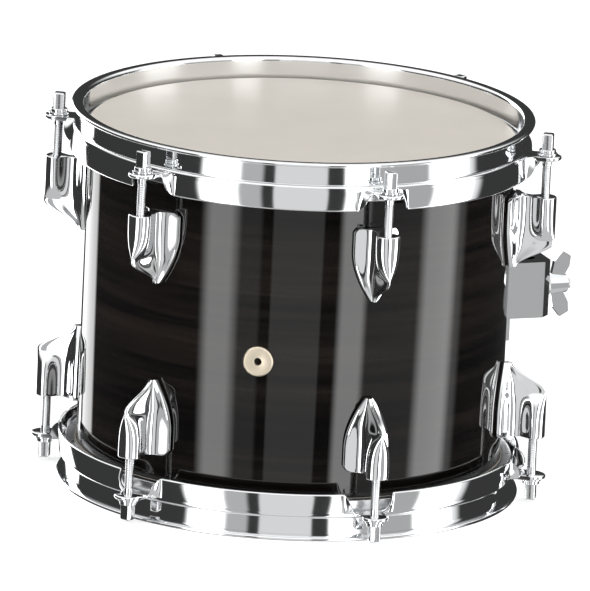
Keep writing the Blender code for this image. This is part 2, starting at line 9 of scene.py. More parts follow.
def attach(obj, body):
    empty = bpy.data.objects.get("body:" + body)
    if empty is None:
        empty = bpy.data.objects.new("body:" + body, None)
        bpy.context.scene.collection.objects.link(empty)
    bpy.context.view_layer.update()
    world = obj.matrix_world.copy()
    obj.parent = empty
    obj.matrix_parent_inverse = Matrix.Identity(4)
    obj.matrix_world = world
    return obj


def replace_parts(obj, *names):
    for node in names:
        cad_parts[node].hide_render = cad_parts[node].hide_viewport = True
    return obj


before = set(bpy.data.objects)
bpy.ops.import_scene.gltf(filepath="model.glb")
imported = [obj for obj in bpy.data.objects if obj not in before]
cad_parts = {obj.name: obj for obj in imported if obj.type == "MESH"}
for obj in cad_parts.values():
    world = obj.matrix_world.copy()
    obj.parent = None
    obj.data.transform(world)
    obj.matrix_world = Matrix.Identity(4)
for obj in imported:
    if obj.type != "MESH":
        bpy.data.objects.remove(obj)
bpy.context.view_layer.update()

# ---------------------------------------------------------------- studio
# A pale floor, a white surround and four soft lamps, seen through a long lens from a little above and to the right.
# The lacquer and the chrome mirror neither lamps nor floor, only the surround, which shows them tall soft strips with
# dark gaps between, a bright ceiling and a grey ground.


class Socket:
    """A shader node's output. Sums on it add Math nodes; colours and vectors go through Mix and Vector Math."""

    def __init__(self, output):
        self.output = output
        self.tree = output.id_data

    def feed(self, socket, value):
        """Give an input a link, if the value is a Socket, or else the value itself."""
        if isinstance(value, Socket):
            self.tree.links.new(value.output, socket)
        else:
            socket.default_value = value

    def node(self, kind, values, output=0, **settings):
        """Add any node: its settings first, then its inputs' values or links by name or number."""
        made = self.tree.nodes.new(kind)
        for name, value in settings.items():
            setattr(made, name, value)
        for key, value in values.items():
            self.feed(made.inputs[key], value)
        return Socket(made.outputs[output])

    def maths(self, operation, first, second):
        """One Math node on two numbers."""
        return self.node("ShaderNodeMath", {0: first, 1: second}, operation=operation)

    def __add__(self, other):
        return self.maths("ADD", self, other)

    def __radd__(self, other):
        return self.maths("ADD", other, self)

    def __sub__(self, other):
        return self.maths("SUBTRACT", self, other)

    def __rsub__(self, other):
        return self.maths("SUBTRACT", other, self)

    def __mul__(self, other):
        return self.maths("MULTIPLY", self, other)

    def __rmul__(self, other):
        return self.maths("MULTIPLY", other, self)

    def band(self, low, high):
        """0 below low, 1 above high and a smooth step between them."""
        return self.node("ShaderNodeMapRange", {0: self, 1: low, 2: high}, interpolation_type="SMOOTHSTEP")

    def between(self, first, second):
        """Mix of two colours, this number being the share of the second."""
        return self.node("ShaderNodeMix", {0: self, 6: first, 7: second}, output=2, data_type="RGBA")

    def stretched(self, factors):
        """This vector with each of its parts multiplied."""
        return self.node("ShaderNodeVectorMath", {0: self, 1: factors}, operation="MULTIPLY")

    def noise(self, scale, detail, roughness=0.5):
        """Soft noise from 0 to 1 over this vector."""
        values = {"Vector": self, "Scale": scale, "Detail": detail, "Roughness": roughness}
        return self.node("ShaderNodeTexNoise", values)


class Finish:
    """A Principled material, with its inputs and its object coordinates to hand."""

    def __init__(self, name, color, roughness, metallic=0.0):
        self.material = bpy.data.materials.new(name)
        self.material.use_nodes = True
        shader = self.material.node_tree.nodes["Principled BSDF"]
        self.inputs = shader.inputs
        self.inputs["Base Color"].default_value = (*color, 1.0)
        self.inputs["Roughness"].default_value = roughness
        self.inputs["Metallic"].default_value = metallic
        self.place = Socket(shader.outputs[0]).node("ShaderNodeTexCoord", {}, output="Object")

    def feed(self, name, value):
        """Link a Socket to one of the shader's inputs, or set that input."""
        self.place.feed(self.inputs[name], value)

    def on(self, obj):
        """Put the material on an object's own slots."""
        if not obj.data.materials:
            obj.data.materials.append(None)
        for slot in obj.material_slots:
            slot.link = "OBJECT"
            slot.material = self.material
        return obj


def linked(name, data):
    """A new object at the origin, in the scene."""
    obj = bpy.data.objects.new(name, data)
    bpy.context.scene.collection.objects.link(obj)
    return obj


scene = bpy.context.scene
scene.view_settings.view_transform = "Standard"

DRUM_HEIGHT = 0.2276
CAMERA_AZIMUTH = math.radians(9)
CAMERA_ELEVATION = math.radians(14.2)
CAMERA_ROLL = math.radians(2.7)
CAMERA_DISTANCE = 9.5
VIEW_WIDTH = 0.35
SENSOR_MM = 36


def direction(azimuth, elevation):
    """Unit vector away from the drum: azimuth 0 is in front and a quarter turn is on the right."""
    level = math.cos(elevation)
    return Vector((math.sin(azimuth) * level, -math.cos(azimuth) * level, math.sin(elevation)))


away = direction(CAMERA_AZIMUTH, CAMERA_ELEVATION)
lens = bpy.data.cameras.new("camera")
lens.sensor_width = SENSOR_MM
lens.lens = SENSOR_MM * CAMERA_DISTANCE / VIEW_WIDTH
lens.clip_end = 100
camera = linked("camera", lens)
camera.rotation_mode = "QUATERNION"
camera.location = Vector((0, 0, DRUM_HEIGHT / 2)) + away * CAMERA_DISTANCE
camera.rotation_quaternion = away.to_track_quat("Z", "Y") @ Matrix.Rotation(CAMERA_ROLL, 3, "Z").to_quaternion()
scene.camera = camera

# Strips of the surround, seen only by the shine: each one's start and end in degrees round from the camera, its
# brightness as a multiple of white and how many degrees its edges fade over to either side.
STRIPS = [
    (-165, -138, 3.0, 2.0),
    (-50, -33, 4.2, 4.0),
    (-33, -19, 0.42, 1.5),
    (-13, 14, 0.68, 0.8),
    (24, 38, 4.2, 2.5),
    (38, 72, 0.38, 2.0),
    (72, 94, 4.4, 4.0),
    (93, 101, 0.8, 3.0),
]
GAP_LIGHT = 0.04
CEILING, CEILING_FROM, CEILING_FULL = 1.15, 0.30, 0.62
GROUND, GROUND_FROM, GROUND_FULL = 0.55, -0.55, -0.80
AMBIENT = 0.32

world = bpy.data.worlds.new("surround")
scene.world = world
world.use_nodes = True
sky = world.node_tree.nodes["Background"]
sky.inputs["Color"].default_value = (1.0, 1.0, 1.0, 1.0)
surround = Socket(sky.outputs[0])
seen = surround.node("ShaderNodeLightPath", {}, output="Is Camera Ray")
mirrored = surround.node("ShaderNodeLightPath", {}, output="Is Glossy Ray")
ray = surround.node("ShaderNodeTexCoord", {}, output="Generated")
right, behind, height = (ray.node("ShaderNodeSeparateXYZ", {0: ray}, output=part) for part in range(3))
bearing = (ray.maths("ARCTAN2", right, -1.0 * behind) - CAMERA_AZIMUTH) * math.degrees(1)
strips = GAP_LIGHT
for start, end, brightness, soft in STRIPS:
    before = bearing.band(start - soft, start + soft)
    after = bearing.band(end - soft, end + soft)
    strips = strips + before * (1.0 - after) * brightness
ceiling = height.band(CEILING_FROM, CEILING_FULL)
ground = 1.0 - height.band(GROUND_FULL, GROUND_FROM)
mirror = strips * (1.0 - ceiling) * (1.0 - ground) + ceiling * CEILING + ground * GROUND
seen.feed(sky.inputs["Strength"], seen + (1.0 - seen) * (mirrored * mirror + (1.0 - mirrored) * AMBIENT))

FLOOR_HALF = 30.0
FLOOR_LIFT = 0.45
corners = [(-FLOOR_HALF, -FLOOR_HALF, 0), (FLOOR_HALF, -FLOOR_HALF, 0)]
corners += [(FLOOR_HALF, FLOOR_HALF, 0), (-FLOOR_HALF, FLOOR_HALF, 0)]
floor_mesh = bpy.data.meshes.new("floor")
floor_mesh.from_pydata(corners, [], [(0, 1, 2, 3)])
floor_paint = Finish("floor", (0.93, 0.93, 0.93), 0.9)
floor_seen = floor_paint.place.node("ShaderNodeLightPath", {}, output="Is Camera Ray")
floor_paint.feed("Emission Color", floor_seen.between((0, 0, 0, 1), (FLOOR_LIFT, FLOOR_LIFT, FLOOR_LIFT, 1)))
floor_paint.feed("Emission Strength", 1.0)
floor_paint.feed("Specular IOR Level", 0.0)
floor = floor_paint.on(linked("floor", floor_mesh))
floor.visible_glossy = False

LAMP_AIM = Vector((0, 0, 0.114))
# Each lamp's azimuth and elevation in degrees, distance, width and height in metres, and power in watts.
LAMPS = {
    "light_left": (-50, 25, 2.4, 0.9, 1.8, 14),
    "light_right": (60, 25, 2.6, 0.9, 1.8, 12),
    "light_back": (170, 35, 2.6, 1.6, 1.6, 10),
    "light_top": (10, 78, 2.4, 2.2, 2.0, 27),
}
for name, (azimuth, elevation, distance, width, tall, power) in LAMPS.items():
    towards = direction(math.radians(azimuth), math.radians(elevation))
    light = bpy.data.lights.new(name, "AREA")
    light.shape = "RECTANGLE"
    light.size, light.size_y = width, tall
    light.energy = power
    obj = linked(name, light)
    obj.location = LAMP_AIM + towards * distance
    obj.rotation_mode = "QUATERNION"
    obj.rotation_quaternion = towards.to_track_quat("Z", "Y")
    obj.visible_glossy = False
    obj.visible_camera = False

# ---------------------------------------------------------------- shell
# The wooden tube: 252 mm across, 203 mm long and 5 mm thick, cut back at 45 degrees inside to a narrow bearing edge.
# Turned from its profile, under a clear gloss lacquer over near-black wood whose grain runs round it.

RIM_ABOVE_HEAD = 0.0115
FILM = 0.0005
GAP = 0.0003
SHELL_RADIUS = 0.126
SHELL_WALL = 0.005
EDGE_PEAK = 0.0015
EDGE_CUT = SHELL_WALL - EDGE_PEAK
SHELL_BORE = SHELL_RADIUS - SHELL_WALL
SHELL_BOTTOM = RIM_ABOVE_HEAD + FILM + GAP
SHELL_TOP = DRUM_HEIGHT - SHELL_BOTTOM
SHELL_ARRIS = 0.0004
STEPS_ROUND = 288
SIDE_SHARE = 0.49


def rounded(line, radius, steps=4, closed=True):
    """An outline of (..., corners, 2) with an arc in place of each corner; an open one keeps its two ends.

    An arc meets both sides at the radius over the tangent of half the corner's opening, at most about half a side
    from the corner. Its points are turned about its centre from the first side to the second.
    """
    line = np.asarray(line, float)
    corner, before, after = line[..., 1:-1, :], line[..., :-2, :], line[..., 2:, :]
    if closed:
        corner, before, after = line, np.roll(line, 1, -2), np.roll(line, -1, -2)
    back, ahead = before - corner, after - corner
    back_length = np.linalg.norm(back, axis=-1, keepdims=True)
    ahead_length = np.linalg.norm(ahead, axis=-1, keepdims=True)
    back, ahead = back / back_length, ahead / ahead_length
    half = np.arccos(np.sum(back * ahead, -1, keepdims=True)) / 2
    reach = np.minimum(radius / np.tan(half), SIDE_SHARE * np.minimum(back_length, ahead_length))
    inward = (back + ahead) / np.linalg.norm(back + ahead, axis=-1, keepdims=True)
    centre = corner + inward * reach / np.cos(half)
    first = (corner + back * reach - centre)[..., None, :]
    last = (corner + ahead * reach - centre)[..., None, :]
    sweep = (math.pi - 2 * half)[..., None, :]
    share = np.linspace(0, 1, steps + 1)[:, None]
    turned_by = first * np.sin((1 - share) * sweep) + last * np.sin(share * sweep)
    arcs = centre[..., None, :] + turned_by / np.sin(sweep)
    arcs = arcs.reshape(*line.shape[:-2], -1, 2)
    return arcs if closed else np.concatenate([line[..., :1, :], arcs, line[..., -1:, :]], -2)


def grid(points, wrap_rows, wrap_columns):
    """Vertices and quads of a surface given as rows x columns points, closed either way round."""
    rows, columns = points.shape[:2]
    index = np.arange(rows * columns).reshape(rows, columns)
    here = index if wrap_rows else index[:-1]
    there = np.roll(index, -1, 0) if wrap_rows else index[1:]
    if wrap_columns:
        quads = (here, np.roll(here, -1, 1), np.roll(there, -1, 1), there)
    else:
        quads = (here[:, :-1], here[:, 1:], there[:, 1:], there[:, :-1])
    return points.reshape(-1, 3), np.stack([q.reshape(-1) for q in quads], 1).tolist()


def turned(outline, steps=STEPS_ROUND, closed=True):
    """Surface of revolution: each outline point (r, z) at (r cos a, r sin a, z) for every angle a."""
    radius, z = np.asarray(outline, float).T
    angle = (np.arange(steps) + 0.5)[:, None] * math.tau / steps
    points = np.stack(np.broadcast_arrays(radius * np.cos(angle), radius * np.sin(angle), z), 2)
    return grid(points, True, closed)


def piece(name, body, finish, parts, *nodes, sharp=35):
    """One shown piece from parts of (vertices, faces), smooth but for its sharp edges, riding on a body."""
    bm = bmesh.new()
    for vertices, faces in parts:
        part = bpy.data.meshes.new("part")
        part.from_pydata(vertices.tolist(), [], faces)
        bm.from_mesh(part)
        bpy.data.meshes.remove(part)
    bmesh.ops.remove_doubles(bm, verts=bm.verts, dist=1e-7)
    bmesh.ops.recalc_face_normals(bm, faces=bm.faces)
    mesh = bpy.data.meshes.new(name)
    bm.to_mesh(mesh)
    bm.free()
    mesh.shade_smooth()
    mesh.set_sharp_from_angle(angle=math.radians(sharp))
    obj = finish.on(linked(name, mesh))
    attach(obj, body)
    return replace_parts(obj, *nodes)


# The grain is noise that changes fast up the shell and slowly round it: fine streaks mixed with broad ones.
FINE_GRAIN, FINE_SHARE = (5.0, 5.0, 140.0), 0.65
BROAD_GRAIN, BROAD_SHARE = (3.0, 3.0, 22.0), 0.35
STREAK_LOW, STREAK_HIGH = 0.38, 0.66
DARK_WOOD = (0.0034, 0.0031, 0.0031, 1)
PALE_WOOD = (0.0200, 0.0158, 0.0135, 1)
GLOSS_ROUGHNESS = 0.015

lacquer = Finish("lacquer", (0.012, 0.010, 0.009), 0.30)
fine_grain = lacquer.place.stretched(FINE_GRAIN).noise(1.0, 6.0, 0.62)
broad_grain = lacquer.place.stretched(BROAD_GRAIN).noise(1.0, 3.0)
streaks = (fine_grain * FINE_SHARE + broad_grain * BROAD_SHARE).band(STREAK_LOW, STREAK_HIGH)
lacquer.feed("Base Color", streaks.between(DARK_WOOD, PALE_WOOD))
lacquer.feed("Specular IOR Level", 0.0)
lacquer.feed("Coat Weight", 1.0)
lacquer.feed("Coat Roughness", GLOSS_ROUGHNESS)

shell_outline = [
    (SHELL_RADIUS, SHELL_TOP),
    (SHELL_RADIUS, SHELL_BOTTOM),
    (SHELL_RADIUS - EDGE_PEAK, SHELL_BOTTOM),
    (SHELL_BORE, SHELL_BOTTOM + EDGE_CUT),
    (SHELL_BORE, SHELL_TOP - EDGE_CUT),
    (SHELL_RADIUS - EDGE_PEAK, SHELL_TOP),
]
piece("drum_shell", "drum", lacquer, [turned(rounded(shell_outline, SHELL_ARRIS))], "shell")

# ---------------------------------------------------------------- drumheads
# Two coated plastic films, each with its collar turned down over the bearing edge, and the square aluminium flesh
# hoop that each film's edge is held in. Both are turned from their profiles; the lower pair rides on its hoop.

FLESH_WIDTH = 0.0052
FLESH_HEIGHT = 0.0078
FLESH_DROP = 0.0035
FLESH_BORE = SHELL_RADIUS + FILM + 2 * GAP
FLESH_OUTER = FLESH_BORE + FLESH_WIDTH
FLESH_TOP = SHELL_TOP - FLESH_DROP
FLESH_ARRIS = 0.0006
COLLAR_RADIUS = SHELL_RADIUS + GAP
COLLAR_END = FLESH_TOP - FLESH_HEIGHT
COLLAR_BEND = 0.0022
HEAD_UNDERSIDE = SHELL_TOP + GAP
FLIPPED = Matrix.Translation((0, 0, DRUM_HEIGHT)) @ Matrix.Rotation(math.pi, 4, "X")
SIDES = {"batter": Matrix(), "resonant": FLIPPED}


def moved(part, matrix):
    """Vertices and faces carried by a matrix."""
    vertices, faces = part
    m = np.array(matrix)
    return vertices @ m[:3, :3].T + m[:3, 3], faces


def worn(finish, scale, smooth, rough):
    """Let a finish's roughness wander between two values with soft noise."""
    finish.feed("Roughness", finish.place.noise(scale, 4.0) * (rough - smooth) + smooth)
    return finish


PALE_COATING = (0.70, 0.655, 0.590, 1)
WARM_COATING = (0.665, 0.625, 0.565, 1)
coating = Finish("coated_film", (0.66, 0.61, 0.55), 0.42)
clouding = coating.place.noise(26.0, 2.0).band(0.35, 0.75)
coating.feed("Base Color", clouding.between(PALE_COATING, WARM_COATING))
coating.feed("Specular IOR Level", 0.35)
aluminium = worn(Finish("aluminium", (0.66, 0.67, 0.68), 0.3, 1.0), 90.0, 0.22, 0.36)

head_top = HEAD_UNDERSIDE + FILM
film_outer = [(0, head_top), (COLLAR_RADIUS + FILM, head_top), (COLLAR_RADIUS + FILM, COLLAR_END)]
film_inner = [(COLLAR_RADIUS, COLLAR_END), (COLLAR_RADIUS, HEAD_UNDERSIDE), (0, HEAD_UNDERSIDE)]
film_bends = [rounded(film_outer, COLLAR_BEND, 8, False), rounded(film_inner, COLLAR_BEND - FILM, 8, False)]
film_part = turned(np.concatenate(film_bends), closed=False)
flesh_outline = [
    (FLESH_OUTER, FLESH_TOP),
    (FLESH_OUTER, COLLAR_END),
    (FLESH_BORE, COLLAR_END),
    (FLESH_BORE, FLESH_TOP),
]
flesh_part = turned(rounded(flesh_outline, FLESH_ARRIS))
for side, flip in SIDES.items():
    rider = "drum" if side == "batter" else "resonant_hoop"
    piece(f"{side}_head_film", rider, coating, [moved(film_part, flip)], f"{side}_film")
    piece(f"{side}_head_hoop", rider, aluminium, [moved(flesh_part, flip)], f"{side}_flesh_hoop")

# ---------------------------------------------------------------- counterhoops
# Triple-flange hoops of 2.3 mm chromed steel: a flat lip at the rim, an upright wall, and a lower flange that is a
# flared skirt between the rods and a flat round-ended ear at each of them. Swept round the drum.

HOOP_STEEL = 0.0023
HOOP_BEND = HOOP_STEEL / 2
LIP_WIDTH = 0.0057
HOOP_HEIGHT = 0.028
SKIRT_PLAY = 0.0012
SKIRT_FLARE = math.radians(6)
SKIRT_START_SHARE = 0.45
EAR_HALF_WIDTH = 0.0080
EAR_FILLET = 0.0095
LUG_COUNT = 6
ROD_OFFSET = 0.0205
ROD_CIRCLE = SHELL_RADIUS + ROD_OFFSET
SHOULDER_DEPTH = SHELL_BOTTOM + FLESH_DROP - GAP - HOOP_STEEL / 2
EAR_DEPTH = SHOULDER_DEPTH + HOOP_STEEL
WALL_RADIUS = (FLESH_BORE + FLESH_OUTER + HOOP_STEEL) / 2
SKIRT_RADIUS = FLESH_OUTER + SKIRT_PLAY + HOOP_STEEL / 2
LUG_ANGLES = math.tau * (np.arange(LUG_COUNT) + 0.5) / LUG_COUNT
EDGE_STEPS = 4
EAR_STEPS, FILLET_STEPS, SKIRT_STEPS = 14, 14, 20

chrome = worn(Finish("chrome", (0.90, 0.91, 0.92), 0.05, 1.0), 60.0, 0.035, 0.075)


def ease(share):
    """Smooth step from 0 to 1: three times the share squared less twice its cube."""
    share = np.clip(share, 0, 1)
    return share * share * (3 - 2 * share)


def hoop_lines(distance):
    """Middle lines of the hoop's sheet, as (r, z) below the rim, at distances along the rod circle from an ear.

    The lower flange slopes by the eased distance past the ear, from flat to 6 degrees off upright. Its length is the
    ear's round end up to the ear's half width, and then grows with the same ease to the skirt's full depth.
    """
    turn = ease((distance - EAR_HALF_WIDTH) / EAR_FILLET)
    slope = turn * (math.pi / 2 - SKIRT_FLARE)
    ear = ROD_CIRCLE - SKIRT_RADIUS + np.sqrt(np.maximum(EAR_HALF_WIDTH**2 - distance**2, 0))
    skirt = (HOOP_HEIGHT - EAR_DEPTH) / math.cos(SKIRT_FLARE)
    skirt = skirt * (SKIRT_START_SHARE + (1 - SKIRT_START_SHARE) * turn)
    length = np.where(distance <= EAR_HALF_WIDTH, ear, skirt)
    line = [
        (WALL_RADIUS + LIP_WIDTH, -HOOP_STEEL / 2),
        (WALL_RADIUS, -HOOP_STEEL / 2),
        (WALL_RADIUS, -SHOULDER_DEPTH),
        (SKIRT_RADIUS, -SHOULDER_DEPTH),
        (SKIRT_RADIUS, -EAR_DEPTH),
    ]
    tip = np.stack([SKIRT_RADIUS + length * np.cos(slope), -EAR_DEPTH - length * np.sin(slope)], 1)
    return np.concatenate([np.tile(line, (len(distance), 1, 1)), tip[:, None]], 1)


def bent_sheet(line, thickness):
    """Closed outlines of a sheet about middle lines: half the thickness to either side along the mean normal.

    Each of its two edges is half round, set back by a quarter of the thickness.
    """
    half = thickness / 2
    step = np.diff(line, axis=-2)
    step /= np.linalg.norm(step, axis=-1, keepdims=True)
    along = np.concatenate([step[:, :1], step[:, :-1] + step[:, 1:], step[:, -1:]], 1)
    along /= np.linalg.norm(along, axis=-1, keepdims=True)
    across = np.stack([-along[..., 1], along[..., 0]], -1)
    middle = line.copy()
    middle[:, 0] += along[:, 0] * half / 2
    middle[:, -1] -= along[:, -1] * half / 2
    turn = (np.arange(1, EDGE_STEPS) * math.pi / EDGE_STEPS)[:, None]

    def edge(at, sideways, outward):
        return at[:, None] + half * (sideways[:, None] * np.cos(turn) + outward[:, None] * np.sin(turn))

    far_edge = edge(middle[:, -1], across[:, -1], along[:, -1])
    near_edge = edge(middle[:, 0], -across[:, 0], -along[:, 0])
    return np.concatenate([middle + across * half, far_edge, (middle - across * half)[:, ::-1], near_edge], 1)


half_gap = ROD_CIRCLE * math.pi / LUG_COUNT
skirt_from = EAR_HALF_WIDTH + EAR_FILLET
stations = np.concatenate(
    [
        EAR_HALF_WIDTH * np.sin(math.pi / 2 * np.arange(EAR_STEPS + 1) / EAR_STEPS),
        EAR_HALF_WIDTH + EAR_FILLET * (np.arange(FILLET_STEPS) + 0.5) / FILLET_STEPS,
        [skirt_from],
        skirt_from + (half_gap - skirt_from) * (np.arange(SKIRT_STEPS) + 1) / SKIRT_STEPS,
    ]
)
stations = np.concatenate([-stations[:0:-1], stations[:-1]])
outlines = bent_sheet(rounded(hoop_lines(np.abs(stations)), HOOP_BEND, 6, False), HOOP_STEEL)
outlines = np.tile(outlines, (LUG_COUNT, 1, 1))
turns = (LUG_ANGLES[:, None] + stations / ROD_CIRCLE).reshape(-1, 1)
radius, z = outlines[..., 0], outlines[..., 1]
hoop_part = grid(np.stack([radius * np.sin(turns), -radius * np.cos(turns), z], 2), True, True)
for side, flip in SIDES.items():
    at = flip @ Matrix.Translation((0, 0, DRUM_HEIGHT))
    piece(f"{side}_counterhoop", f"{side}_hoop", chrome, [moved(hoop_part, at)], f"{side}_hoop", sharp=50)

# ---------------------------------------------------------------- tension rods
# Steel rods with square drum-key heads, a collar and a loose washer on each ear. The thread is 24 to the inch, cut
# as a helix on the part that shows below the ear and in the lug.

ROD_RADIUS = 0.0027
ROD_IN_LUG = 0.0185
ROD_HEAD = 0.00635
ROD_HEAD_HEIGHT = 0.0095
ROD_HEAD_CORNER = 0.0007
ROD_HEAD_ROUND = 0.0010
ROD_COLLAR_RADIUS = 0.0050
ROD_COLLAR = 0.0022
COLLAR_ARRIS = 0.0005
WASHER_RADIUS = 0.0060
WASHER = 0.0012
WASHER_ARRIS = 0.0003
PLAIN_SHANK = 0.0065
MOUTH_BELOW_RIM = 0.0405
THREAD_PITCH = 0.0254 / 24
THREAD_DEPTH = 0.00035
THREAD_ROWS = 6
THREAD_SIDES, COLLAR_SIDES, SHANK_SIDES = 20, 48, 32
HEAD_STEPS = 4

steel = worn(Finish("plated_steel", (0.82, 0.83, 0.84), 0.12, 1.0), 70.0, 0.09, 0.17)


def around(angle, radius, height):
    """Frame at an angle from the front: X along the shell, Y outwards, Z up."""
    return Matrix.Rotation(angle + math.pi, 4, "Z") @ Matrix.Translation((0, radius, height))


def lofted(points):
    """Closed skin through loops of rows x columns points, its two ends filled by faces."""
    rows, columns = points.shape[:2]
    vertices, faces = grid(points, False, True)
    ends = np.arange(columns)[::-1], np.arange(columns) + (rows - 1) * columns
    return vertices, faces + [end.tolist() for end in ends]


def threaded(low, high):
    """Helical thread: the radius less the depth times how far the pitch's fraction at (z, a) is from its middle."""
    rows = int((high - low) / THREAD_PITCH * THREAD_ROWS) + 1
    z = np.linspace(low, high, rows)[:, None]
    angle = np.arange(THREAD_SIDES) * math.tau / THREAD_SIDES
    fraction = np.mod(z / THREAD_PITCH - angle / math.tau, 1.0)
    radius = ROD_RADIUS - THREAD_DEPTH * np.abs(2 * fraction - 1)
    return lofted(np.stack(np.broadcast_arrays(radius * np.cos(angle), radius * np.sin(angle), z), 2))


def square_head(low, high):
    """Square bar with rounded corners, its top drawn in by a quarter circle: sideways by 1 - cos, up by sin."""
    half = ROD_HEAD / 2
    section = rounded([(-half, -half), (half, -half), (half, half), (-half, half)], ROD_HEAD_CORNER, 3)
    turn = math.pi / 2 * np.arange(HEAD_STEPS + 1) / HEAD_STEPS
    inset = np.concatenate([[0], ROD_HEAD_ROUND * (1 - np.cos(turn))])
    z = np.concatenate([[low], high - ROD_HEAD_ROUND + ROD_HEAD_ROUND * np.sin(turn)])
    loops = section * (1 - inset / half)[:, None, None]
    heights = np.broadcast_to(z[:, None, None], (*loops.shape[:2], 1))
    return lofted(np.concatenate([loops, heights], 2))


ear_top = -EAR_DEPTH + HOOP_STEEL / 2 + GAP
washer_top = ear_top + WASHER
neck = washer_top + ROD_COLLAR
thread_top = ear_top - PLAIN_SHANK
rod_end = -MOUTH_BELOW_RIM - ROD_IN_LUG
washer_outline = [
    (ROD_RADIUS, washer_top),
    (WASHER_RADIUS, washer_top),
    (WASHER_RADIUS, ear_top),
    (ROD_RADIUS, ear_top),
]
collar_outline = [(0, neck), (ROD_COLLAR_RADIUS, neck), (ROD_COLLAR_RADIUS, washer_top), (0, washer_top)]
shank_outline = [(0, washer_top), (ROD_RADIUS, washer_top), (ROD_RADIUS, thread_top), (0, thread_top)]
rod_parts = [
    turned(rounded(washer_outline, WASHER_ARRIS, 3), COLLAR_SIDES),
    turned(rounded(collar_outline, COLLAR_ARRIS, 3, False), COLLAR_SIDES, closed=False),
    turned(shank_outline, SHANK_SIDES, closed=False),
    square_head(washer_top, neck + ROD_HEAD_HEIGHT),
    threaded(rod_end, thread_top),
]
for side, flip in SIDES.items():
    for number, angle in enumerate(LUG_ANGLES, 1):
        at = flip @ around(angle, ROD_CIRCLE, DRUM_HEIGHT)
        name = f"{side}_rod_{number}"
        piece(f"{side}_tension_rod_{number}", name, steel, [moved(part, at) for part in rod_parts], name)

# ---------------------------------------------------------------- lugs
# Cast and chromed lugs with a pointed-arch foot on the shell, a waisted web and a tube that takes the rod. Lofted
# from the mouth down to the point, with the two screws that hold each from inside the shell.

LUG_WIDTH = 0.0275
LUG_LENGTH = 0.0440
LUG_CORNER = 0.0020
LUG_CORNER_LENGTH = 0.0025
LUG_PLATE = 0.0022
LUG_WAIST = 0.0062
LUG_RIDGE = 0.0024
LUG_GASKET = 0.0008
TUBE_WIDTH = 0.0142
TUBE_LENGTH = 0.0280
TUBE_OUTER = 0.0068
POINT_RISE = 0.08
ARCH_POWER = 1.8
TUBE_POWER = 4
# Shares of the height above the plate at which the web begins, is narrowest, meets the tube and rounds over, and the
# share of the tube's half width that is left where it rounds over.
WEB_RISE, WAIST_RISE, TUBE_RISE, CROWN_RISE = 0.16, 0.42, 0.72, 0.93
CROWN_NARROWING = 0.72
LUG_MIDDLE = ROD_OFFSET * 0.6
LUG_SEAT_RADIUS = SHELL_RADIUS + LUG_GASKET + 2 * GAP
MOUTH_ROUND = 0.0009
MOUTH_STEPS, BODY_STEPS, CURVE_STEPS = 4, 44, 6
SCREW_DEPTHS = (0.0095, 0.0325)
SCREW_RADIUS = 0.002
SCREW_HEAD_RADIUS = 0.0046
SCREW_HEAD = 0.0028
SCREW_SIDES = 6
SOLID_SHELL_SIDES = 48
SCREW_SEAT = SHELL_BORE * math.cos(math.pi / SOLID_SHELL_SIDES) - GAP
OUTWARDS = Matrix.Rotation(-math.pi / 2, 4, "X")


def lug_half_width(depth):
    """Half width of the foot below the mouth: straight for a third, then in by the share to the power 1.8."""
    straight = LUG_LENGTH / 3
    share = np.maximum(depth - straight, 0) / (LUG_LENGTH - straight)
    corner = np.maximum(LUG_CORNER - depth * LUG_CORNER / LUG_CORNER_LENGTH, 0)
    return LUG_RIDGE + (LUG_WIDTH / 2 - LUG_RIDGE) * (1 - share**ARCH_POWER) - corner


def foot_height(x):
    """Height of the foot's back above the shell's face, curved about the drum's axis."""
    return np.sqrt(LUG_SEAT_RADIUS**2 - x**2) - SHELL_RADIUS


def curve(points, steps):
    """Catmull-Rom curve through (rows, n, 2) points but for the last span: each span a cubic of its four nearest."""
    first = 2 * points[:, :1] - points[:, 1:2]
    points = np.concatenate([first, points], 1)[:, :, None]
    a, b, c, d = points[:, :-3], points[:, 1:-2], points[:, 2:-1], points[:, 3:]
    t = (np.arange(steps) / steps)[:, None]
    spans = 2 * b + (c - a) * t + (2 * a - 5 * b + 4 * c - d) * t**2 + (3 * b - a - 3 * c + d) * t**3
    return (0.5 * spans).reshape(len(points), -1, 2)


def lug_sections(depth):
    """Outlines across the lug: the foot's plate as straight lines, then a curve through web, tube and crown.

    Height above the plate is eased down from the tube's end to the point. The tube's half width shrinks by the
    fourth power of the depth's share of its length, to no less than half the ridge.
    """
    foot = lug_half_width(depth)
    taper = np.minimum((LUG_LENGTH - depth) / (LUG_LENGTH - TUBE_LENGTH), 1)
    rise = POINT_RISE + (1 - POINT_RISE) * ease(taper)
    waist = LUG_RIDGE / 2 + (LUG_WAIST - LUG_RIDGE) / 2 * taper
    tube = np.maximum(TUBE_WIDTH / 2 * (1 - (depth / TUBE_LENGTH) ** TUBE_POWER), LUG_RIDGE / 2)
    back = foot_height(foot)
    plate = back + LUG_PLATE
    top = rise * (ROD_OFFSET + TUBE_OUTER - plate)

    def line(*points):
        return np.stack([np.stack(np.broadcast_arrays(x, y), 1) for x, y in points], 1)

    web = line(
        (foot - LUG_PLATE / 4, plate),
        (waist + (foot - waist) / 5, plate + top * WEB_RISE),
        (waist, plate + top * WAIST_RISE),
        (tube, plate + top * TUBE_RISE),
        (tube * CROWN_NARROWING, plate + top * CROWN_RISE),
        (0, plate + top),
        (-tube * CROWN_NARROWING, plate + top * CROWN_RISE),
    )
    edge = line((foot, back), (foot - LUG_PLATE / 12, back + LUG_PLATE * 0.7))
    right = np.concatenate([edge, curve(web, CURVE_STEPS)], 1)
    left = right[:, ::-1] * (-1, 1)
    crown = line((0, plate + top))
    heel = np.broadcast_to((0, foot_height(0)), crown.shape)
    return np.concatenate([heel, right, crown, left], 1)


